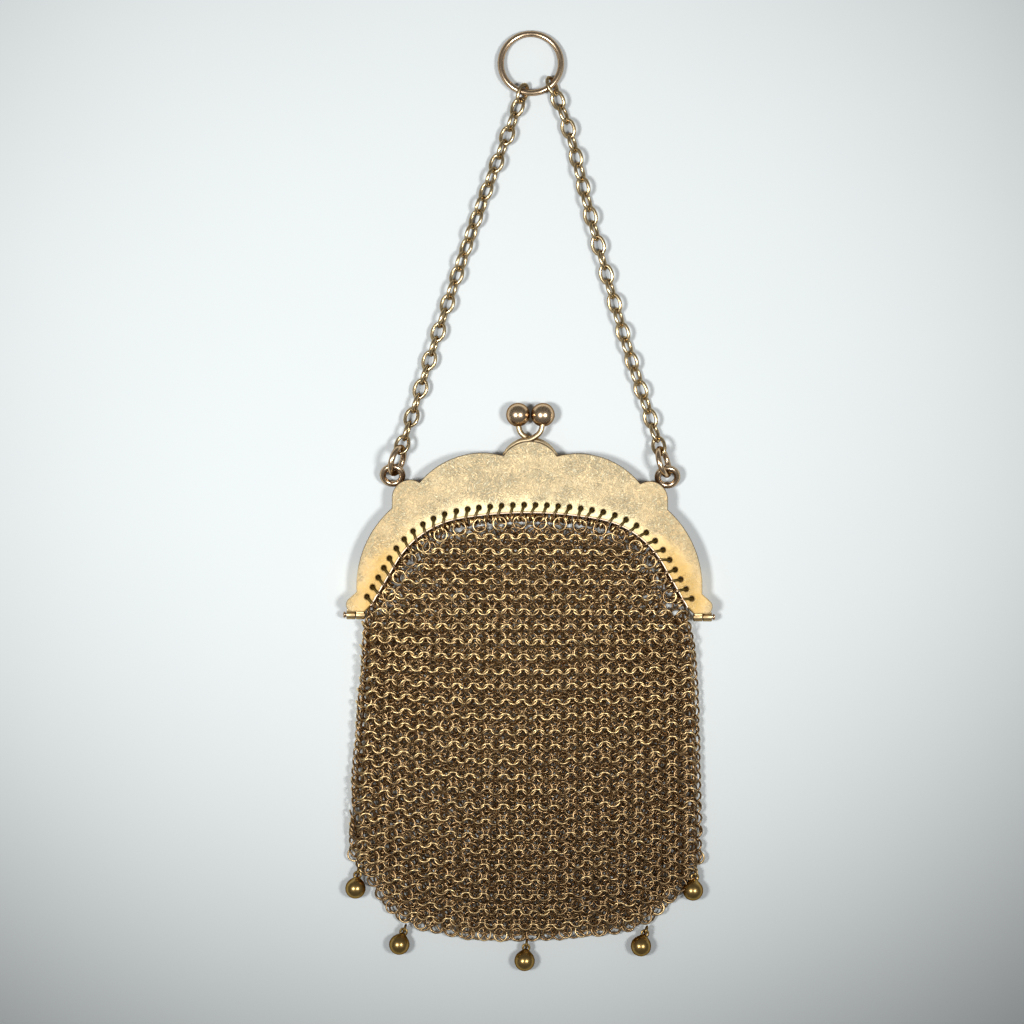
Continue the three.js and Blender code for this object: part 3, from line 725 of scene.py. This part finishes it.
for name, strand in strands.items():
    side = strand["side"]
    lug = np.array((side * lug_half_span, 0.0, 0.0))
    along = np.array((*strand["route"][0], 0.0)) - lug
    along /= np.linalg.norm(along)
    jump_spot = lug + along * (lug_radius + jump_radius - lug_wire - jump_wire - jump_slack)
    jump_spot[2] = jump_radius * math.sin(jump_roll) + jump_wire + table_gap
    jump = ring_mesh(jump_spot, along, roll_across(along, jump_roll), jump_radius, jump_wire)
    piece("jump_ring_" + name + "_shown", [jump], rose_finish, "rose_gold", "jump_ring_" + name)

    half_length = link_length / 2 - end_reach
    start = jump_spot + along * (jump_radius - jump_wire - seat_gap - end_reach + half_length)
    ring_turn = math.radians(strand["ring"])
    link_height = link_middle + table_gap
    reach = ring_radius - ring_wire - end_link_slack - end_reach + half_length
    end = ring_spot + reach * np.array((math.cos(ring_turn), math.sin(ring_turn)))
    route = [start, *((x, y, link_height) for x, y in (*strand["route"], end))]
    line = smooth_line(route, strand_spaces + 1)
    line[:, 2] = np.maximum(line[:, 2], link_height)
    ways = np.gradient(line, axis=0)
    ways /= np.linalg.norm(ways, axis=1)[:, None]
    twist = np.interp(np.arange(strand_spaces + 1), *zip(*strand["twist"]))
    links = []
    for number, (spot, way) in enumerate(zip(line, ways)):
        roll = math.radians((-link_roll if number % 2 else link_roll) + (twist[number] - 90))
        bends = (link_bend, link_width / 2 - link_wire, link_wire)
        links.append(mesh_of(*loops(spot, way, roll_across(way, roll), *bends, turns=32, sides=10)))
    piece("chain_" + name + "_shown", links, chain_finish, "chain_gold", "chain_" + name)

# Ring mesh bag
# A flat tube knitted from about 2,900 rings of gold wire, four rings through each ring. The rings of one row
# lean up and those of the next lean down, so their edges draw the wavy lines. The outer edges are bright,
# partly from wear and partly as painted light, and the deeper parts are dark as painted shade. The mesh is
# also painted darker towards the bottom and the right, as painted shade.

ring_size = 1.55
front_wire = 0.24
back_wire = 0.27
ring_lean = math.radians(24)
under_lean = math.radians(14)
row_pitch = 1.8
edge_row_pitch = 1.6
row_pairing = -0.1  # rows stand in pairs, each moved up or down by this
row_share = 0.93  # share of the pitch that rows keep on the way down the bag's outline
side_power = 2.4  # how late rows close up towards the sides
ripple_height = 0.5
ripple_place = 0.33
ripple_width = 0.1
ripple_rows = 12
over_lift = 0.15
turned_row = -11  # rows above this one lie the other way over
mouth_spread = 0.09
mouth_rows = 8
first_column = 0.25
top_row = -14
middle_row = 16
last_row = 45
back_top_row = -22
back_last_row = 74
back_bends = 16
top_ring_inset = 2.45
top_ring_pitch = 4.6
columns_front = 20.5
columns_round = 46
back_closeness = 0.66
lowest_ring = 1.25
first_row_gap = 1.2
front_hem_gap = 1.2
back_hem_gap = 0.3
foot_gap = 0.8
hem_taper = 6
hem_flatness = 0.62
spot_play = 0.07
lean_play = 0.1
skew_play = 0.05
upwards_play = 0.6
hinge_row_y = -33.4
wall = 1.6  # the mesh's own thickness
mouth_depth = 5.2
bag_depth = 4.8
hem_depth = 3.6
ring_sides = 6
bag_depths = ((-111, hem_depth), (-95, bag_depth), (-55, bag_depth), (-30, mouth_depth))
bag_left = ((-111, -42.6), (-90, -42.7), (-78, -41.9), (-54, -40.7), (-35.5, -39.8), (-31, -37.6))
bag_right = ((-111, 41.6), (-90, 41.4), (-78, 41.2), (-54, 40.5), (-42, 39.9), (-35.5, 38.9), (-31, 37.6))
bag_bottom = (
    (-42.7, -90.5), (-41.2, -93.0), (-38.4, -95.7), (-35.3, -101.0), (-31.7, -105.6), (-26.6, -108.2),
    (-20.2, -109.8), (-14.4, -110.9), (-5.5, -111.3), (4.3, -110.9), (9.4, -110.3), (17.8, -109.8),
    (23.5, -108.7), (29.3, -106.5), (33.1, -102.8), (37, -98.8), (40.2, -94.6), (41.4, -90.5),
)
dark_gilt = (0.375, 0.245, 0.122)
bright_gilt = (1.0, 0.74, 0.37)
# Depth over which each ring goes from painted shade in its deep parts to wear and painted light on its outer
# parts
wear_depth = 1.5
wire_relief = 0.01 * mm
# Painted shade: the mesh is painted darker towards the bottom and towards the right, where less lamp light
# falls
low_shade = (-100, -50, 0.18, 0)  # two heights, and how much darker the mesh is at each
right_shade = (-10, 40, 0, 0.09)  # two places from left to right, and how much darker at each
chance = np.random.default_rng(7)

mesh_finish = Finish("worn_and_lit_gilt_wire", Metallic=1)
wear, tint = mesh_finish.mark("wear"), mesh_finish.mark("tint")
mesh_point = mesh_finish.place()
grime = mesh_finish.noise(mesh_point, 0.12, 4, 0.6)
# Painted shade towards the bottom and the right of the mesh
painted_shade_low = mesh_finish.ease(mesh_finish.axis(mesh_point, 1), *low_shade)
painted_shade_right = mesh_finish.ease(mesh_finish.axis(mesh_point, 0), *right_shade)
# Wear, painted light, tint and dirt brighten the wire, and painted shade darkens it low down and to the right
rubbed_and_lit = wear + 0.25 * tint - 0.25 * grime - painted_shade_low - painted_shade_right
wire_tone = mesh_finish.blend(mesh_finish.ease(rubbed_and_lit, 0.55, 1.02), dark_gilt, bright_gilt)
mesh_finish.drive(Base_Color=wire_tone, Roughness=0.27 + 0.05 * wear + 0.1 * grime)
mesh_finish.bump(mesh_finish.noise(mesh_point, 3, 2), wire_relief, 0.2)


def read_off(table, place):
    """The value that a table of (place, value) pairs has at a place."""
    return np.interp(place, *zip(*table))


def bag_section(y):
    """Centre, half width and depth between the wall's middles, at a height of the bag."""
    left, right = read_off(bag_left, y) + wall / 2, read_off(bag_right, y) - wall / 2
    return (left + right) / 2, (right - left) / 2, read_off(bag_depths, y) - wall


def row_heights(row, share):
    """Height of a row where it is a share of the bag's half width from the middle."""
    closer = (row_pitch - edge_row_pitch) * np.abs(share) ** side_power
    spread = np.where(row > 0, row_pitch - closer, row_pitch)
    ripple = ripple_height * np.exp(-(((share - ripple_place) / ripple_width) ** 2))
    return hinge_row_y - row * spread + ripple * np.clip(row / ripple_rows, 0, 1)


def round_bag(step, row):
    """A ring's centre, the way round the bag and the way out there, from its step round and its row."""
    centre, half_width, depth = bag_section(hinge_row_y - np.maximum(row, 0) * row_pitch * row_share)
    fold = depth / 2
    flat = half_width - fold
    run = 4 * flat + 2 * math.pi * fold
    step = np.mod(step, 1)
    share_front = columns_front / columns_round
    behind = 1 + (step - share_front) / (1 - share_front)
    s = np.where(step < share_front, step / share_front, behind) * run / 2
    bend = math.pi * fold
    in_front, by_right, by_left = s < 2 * flat, s < 2 * flat + bend, s >= 4 * flat + bend
    turn = np.where(in_front, 0, np.where(by_right, (s - 2 * flat) / fold, math.pi))
    turn = np.where(by_left, math.pi + (s - 4 * flat - bend) / fold, turn)
    x = np.where(by_right, flat + fold * np.sin(turn), 3 * flat + bend - s)
    x = np.where(in_front, s - flat, np.where(by_left, -flat + fold * np.sin(turn), x))
    x = x * (1 + mouth_spread * np.clip(-row / mouth_rows, 0, 1))
    z = wall / 2 + fold * (1 + np.cos(turn))
    on_back = (1 - np.cos(turn)) / 2
    closeness = 1 - (1 - back_closeness) * on_back
    y = row_heights(row * closeness, x / (half_width + wall / 2)) - on_back * row_pitch / 2
    y += np.where(row % 2, row_pairing, -row_pairing) * closeness
    point = np.stack((centre + x, y, z), -1)
    way = np.stack((np.cos(turn), 0 * turn, -np.sin(turn)), -1)
    out = np.stack((np.sin(turn), 0 * turn, np.cos(turn)), -1)
    return point, way, out


def inside_arch(x, y):
    """How far points lie from the arch's edge, and less than nothing where they lie past it."""
    edge = arch(np.linspace(0, arch_length, 200))
    distance = np.hypot(np.abs(x)[:, None] - edge[:, 0], y[:, None] - edge[:, 1]).min(1)
    return np.where(y < np.interp(np.abs(x), edge[:, 0], edge[:, 1], right=-99), distance, -distance)


def knitted(rows, front):
    """All the rings of the bag in a range of rows, on its front or its back."""
    grid = np.meshgrid(np.array(rows), np.arange(columns_round), indexing="ij")
    row, column = (places.ravel() for places in grid)
    step = (column + 0.5 * (row % 2) + first_column) / columns_round
    point, way, out = round_bag(step, row)
    x, y = point[:, 0], point[:, 1]
    ours = (out[:, 2] > -1e-6) if front else (out[:, 2] < -1e-6)
    by_arch = y > leg_end[1] - foot_gap
    under_edge = np.where(by_arch, inside_arch(x, y) > top_ring_inset + first_row_gap, True)
    over_hem = y - read_off(bag_bottom, x)
    keep = ours & under_edge & (over_hem > (front_hem_gap if front else back_hem_gap))
    point, way, out, row = point[keep], way[keep], out[keep], row[keep]
    over = np.where(row % 2, -1, 1) * np.where(row > turned_row, 1, -1)
    point += out * (over * over_lift)[:, None]
    fullness = hem_flatness + (1 - hem_flatness) * np.clip(over_hem[keep] / hem_taper, 0, 1)
    flat_height = hem_depth / 2
    point[:, 2] = flat_height + (point[:, 2] - flat_height) * fullness
    count = len(point)
    point += chance.normal(0, spot_play, (count, 3)) * (1, 1, upwards_play)
    point[:, 2] = np.maximum(point[:, 2], lowest_ring)
    lean = np.where(over > 0, ring_lean, under_lean) + chance.normal(0, lean_play, count)
    lean *= np.where(row % 2, -1, 1)
    up = np.array((0, 1, 0)) * np.cos(lean)[:, None] + out * np.sin(lean)[:, None]
    along = way + chance.normal(0, skew_play, count)[:, None] * out
    along /= np.linalg.norm(along, axis=1)[:, None]
    return point, along, up - along * np.sum(up * along, 1)[:, None], out


def set_marks(mesh, **marks):
    """Stores named values at each point of a mesh, for its finish to read."""
    for name, values in marks.items():
        layer = mesh.attributes.new(name, "FLOAT", "POINT")
        layer.data.foreach_set("value", values.astype(np.float32).ravel())


def worn_and_lit_rings(name, point, along, up, out, *nodes, wire=front_wire, radius=ring_size, bends=24, shine=0):
    """One piece of ring mesh, outer parts bright as wear and painted light, deeper parts dark as painted
    shade, each ring its own tint.
    """
    up = up / np.linalg.norm(up, axis=1)[:, None]
    points, faces = loops(point, along, up, radius, radius, wire, bends, ring_sides)
    height = np.einsum("rtsk,rk->rts", points - point[:, None, None, :], out)
    # Painted light and wear on the outer parts of each ring, painted shade on its deeper parts, and shine as
    # painted sheen
    worn_and_lit = np.clip(0.5 + shine + height / wear_depth, 0, 1)
    tints = np.broadcast_to(chance.random(len(point))[:, None, None], worn_and_lit.shape)
    mesh = mesh_of(points, faces)
    set_marks(mesh, wear=worn_and_lit, tint=tints)
    return piece(name, [mesh], mesh_finish, "mesh_gold", *nodes, sharp=180)


worn_and_lit_rings("bag_front_upper", *knitted(range(top_row, middle_row), True), "mesh_bag")
worn_and_lit_rings("bag_front_lower", *knitted(range(middle_row, last_row), True))
back_rows = (back_top_row, middle_row, last_row, back_last_row)
for level, first, after in zip(("upper", "middle", "lower"), back_rows, back_rows[1:]):
    rings = knitted(range(first, after), False)
    worn_and_lit_rings("bag_back_" + level, *rings, wire=back_wire, bends=back_bends)

# Edge rings of the bag
# Under each arch small rings stand close together, where the mesh is gathered to the frame, and its first
# row lies on them in full circles. A row of single rings closes the bottom edge through both walls.

gather_pitch = 1.33
gather_inset = 1.25
gather_radius = 0.95
gather_depth = 1.5
gather_end = 0.5
top_ring_depth = 0.5
top_ring_height = 0.8
top_ring_end = 2
hem_ring_pitch = 3.9
hem_ring_rise = 0.9
gather_play = {"height": 0.12, "tilt": 0.15, "turn": 0.25, "lean": 0.45}
flat_play = {"tilt": 0.1, "lean": 0.14}
top_shine = 0.08
back_shine = 0.1
hem_shine = 0.3


def stepped(line, pitch):
    """Points at an even pitch along a line, and the way the line runs there."""
    along = np.concatenate([[0], np.cumsum(np.linalg.norm(np.diff(line, axis=0), axis=1))])
    count = int(along[-1] / pitch)
    steps = (np.arange(count) + 0.5) * along[-1] / count
    spots = np.stack([np.interp(steps, along, column) for column in line.T], -1)
    ahead = np.stack([np.interp(steps + 0.1, along, column) for column in line.T], -1) - spots
    return spots, ahead / np.linalg.norm(ahead, axis=1)[:, None]


def along_arch(inset, pitch, short_end):
    """Points at an even pitch on a line inside the whole arch, and the way it runs there."""
    half_line = arch(np.linspace(0, arch_length - short_end, 60), -inset)
    return stepped(np.vstack([mirrored(half_line), half_line[1:]]), pitch)


def gather_rings(name, height, out_z):
    """The small rings that stand side by side along the arch."""
    spots, ways = along_arch(gather_inset, gather_pitch, gather_end)
    count = len(spots)
    point = np.column_stack((spots, height + chance.normal(0, gather_play["height"], count)))
    along = np.column_stack((ways[:, 1], -ways[:, 0], chance.normal(0, gather_play["tilt"], count)))
    along[:, :2] += ways * chance.normal(0, gather_play["turn"], (count, 1))
    along /= np.linalg.norm(along, axis=1)[:, None]
    out = np.tile((0.0, 0.0, out_z), (count, 1))
    lean = chance.normal(0, gather_play["lean"], (count, 1))
    up = out + np.column_stack((ways, 0 * out[:, 0])) * lean
    up -= along * np.sum(up * along, 1)[:, None]
    return worn_and_lit_rings(name, point, along, up, out, radius=gather_radius, bends=16)


def flat_rings(name, spots, ways, height, out_z, shine):
    """A row of rings that lie nearly flat."""
    count = len(spots)
    along = np.column_stack((ways, chance.normal(0, flat_play["tilt"], count)))
    along /= np.linalg.norm(along, axis=1)[:, None]
    out = np.tile((0.0, 0.0, out_z), (count, 1))
    up = np.cross(out, along) + out * chance.normal(0, flat_play["lean"], (count, 1))
    up -= along * np.sum(up * along, 1)[:, None]
    point = np.column_stack((spots, np.full(count, height)))
    return worn_and_lit_rings(name, point, along, up, out, shine=shine)


gather_rings("gather_rings_front", mouth_depth - gather_depth, 1.0)
gather_rings("gather_rings_back", gather_depth, -1.0)

top_rings = along_arch(top_ring_inset, top_ring_pitch, top_ring_end)
flat_rings("top_rings_front", *top_rings, mouth_depth - top_ring_depth, 1.0, top_shine)
flat_rings("top_rings_back", *top_rings, top_ring_height, -1.0, back_shine)
hem_line = np.array(bag_bottom) + (0, hem_ring_rise)
flat_rings("hem_rings", *stepped(hem_line, hem_ring_pitch), hem_depth / 2, 1.0, hem_shine)

# Sewing rings
# One small wire ring goes through each hole of the plate, over the edge of the arch and through the mesh's
# edge rings. Where it crosses the plate it is painted near black, as painted shade, and where it bends it is
# painted bright, as a painted glint. The arch's edge is burnished.

sewing_radius = 1.65
sewing_depths = (1.0, 0.5)  # half the depth of a ring through the front plate and through the back
sewing_wire = 0.33
sewing_inset = 0.2
sewing_slant = math.radians(22)
slant_play = 0.1
# How sharply the ring turns to a painted glint past the plate's edge, where it bends
glint_contrast = 3
glint_offset = 0.7
edge_bead_width = 0.34
edge_bead_height = 0.4
edge_bead_inset = 0.06
edge_bead_rise = 0.24
# Painted shade where the ring crosses the plate, and a painted glint where it bends
shade_black = (0.12, 0.08, 0.022)
glint_rose = (0.66, 0.47, 0.29)
burnished_gold = (0.97, 0.76, 0.58)
burnished_shade = (0.7, 0.5, 0.34)
sewing_finish = Finish("shade_and_glint_wire", Metallic=1)
glint = sewing_finish.mark("wear")
sewing_tone = sewing_finish.blend(glint, shade_black, glint_rose)
sewing_finish.drive(Base_Color=sewing_tone, Roughness=0.55 - 0.33 * glint)
burnished_finish = polished("burnished_edge", burnished_gold, burnished_shade, 0.3)
hole_ways = arch(hole_steps, 1) - arch(hole_steps, 0)
hole_ways = np.vstack([hole_ways, mirrored(hole_ways)])
plate_middles = (frame_depth - plate_thickness / 2, plate_thickness / 2)
for name, out_z, plate_middle, depth in zip(("front", "back"), (1, -1), plate_middles, sewing_depths):
    slant = sewing_slant + chance.normal(0, slant_play, len(hole_spots))
    c, s = np.cos(slant), np.sin(slant)
    inwards = np.column_stack((
        -hole_ways[:, 0] * c - hole_ways[:, 1] * s,
        -hole_ways[:, 1] * c + hole_ways[:, 0] * s,
        0 * slant,
    ))
    level = plate_middle - sewing_inset * out_z
    spots = np.column_stack((hole_spots, np.full(len(hole_spots), level)))
    spots += inwards * (sewing_radius - sewing_inset)
    upright = np.tile((0.0, 0.0, out_z), (len(spots), 1))
    points, faces = loops(spots, inwards, upright, sewing_radius, depth, sewing_wire, 24, 8)
    past_plate = np.einsum("rtsk,rk->rts", points - spots[:, None, None, :], inwards) / sewing_radius
    sewn = mesh_of(points, faces)
    set_marks(sewn, wear=np.clip(glint_contrast * past_plate - glint_offset, 0, 1))
    piece("sewing_rings_" + name, [sewn], sewing_finish, "mesh_gold", sharp=180)
    edge_half = arch(np.linspace(0, arch_length, 90), -edge_bead_inset)
    edge_line = np.vstack([mirrored(edge_half), edge_half[1:]])
    level = plate_middle + edge_bead_rise * out_z
    edge_line = np.column_stack((edge_line, np.full(len(edge_line), level)))
    bead = swept(edge_line, edge_bead_width, edge_bead_height)
    piece("arch_edge_" + name, [bead], burnished_finish, "frame_gold")

# Ball drops
# Five hollow balls hang from the bottom edge, each drawn out at the top into a neck with a small loop, and
# held by a jump ring. They are darker than the rest, with a satin polish.

drop_radius = 2.45
drop_loop_radius = 0.75
drop_ring_radius = 0.9
drop_wire = 0.3
drop_leans = (-8, -18, -6, -17, -8)
drop_gold = (0.52, 0.345, 0.125)
drop_shade = (0.27, 0.16, 0.055)
# Painted shade for the sides of the ball drops and their rings
drop_side_shade = (0.13, 0.08, 0.025)
# Radius and height of the neck, as shares of the ball's radius
neck = ((0.62, 0.80), (0.49, 0.91), (0.37, 1.02), (0.29, 1.10), (0.22, 1.16), (0.12, 1.2), (0, 1.21))
neck_start = math.radians(45)
drop_finish = polished("dark_drop_gold", drop_gold, drop_shade, 0.23, drop_side_shade)
turns = np.linspace(-math.pi / 2, neck_start, 28)
drop_profile = np.vstack([np.stack((np.cos(turns), np.sin(turns)), -1), neck]) * drop_radius
for number, lean in enumerate(drop_leans, 1):
    node = f"drop_{number}"
    low, high = (np.array(corner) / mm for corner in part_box(node))
    centre = np.array(((low[0] + high[0]) / 2, low[1] + drop_radius, (low[2] + high[2]) / 2))
    c, s = math.cos(math.radians(lean)), math.sin(math.radians(lean))
    upwards, across = np.array((-s, c, 0)), np.array((c, s, 0))
    loop_spot = centre + upwards * (drop_radius + drop_loop_radius)
    loop = ring_mesh(loop_spot, upwards, across, drop_loop_radius, drop_wire, turns=24, sides=8)
    body = lathed(drop_profile, (0, 0, 0), axis=1)
    body.transform(Matrix.Translation(centre * mm) @ Matrix.Rotation(math.radians(lean), 4, "Z"))
    piece(node + "_shown", [body, loop], drop_finish, "drop_gold", node)
    node = f"drop_ring_{number}"
    low, high = (np.array(corner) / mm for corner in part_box(node))
    link = ring_mesh((low + high) / 2, upwards, z_axis, drop_ring_radius, drop_wire, turns=24, sides=8)
    piece(node + "_shown", [link], drop_finish, "mesh_gold", node)
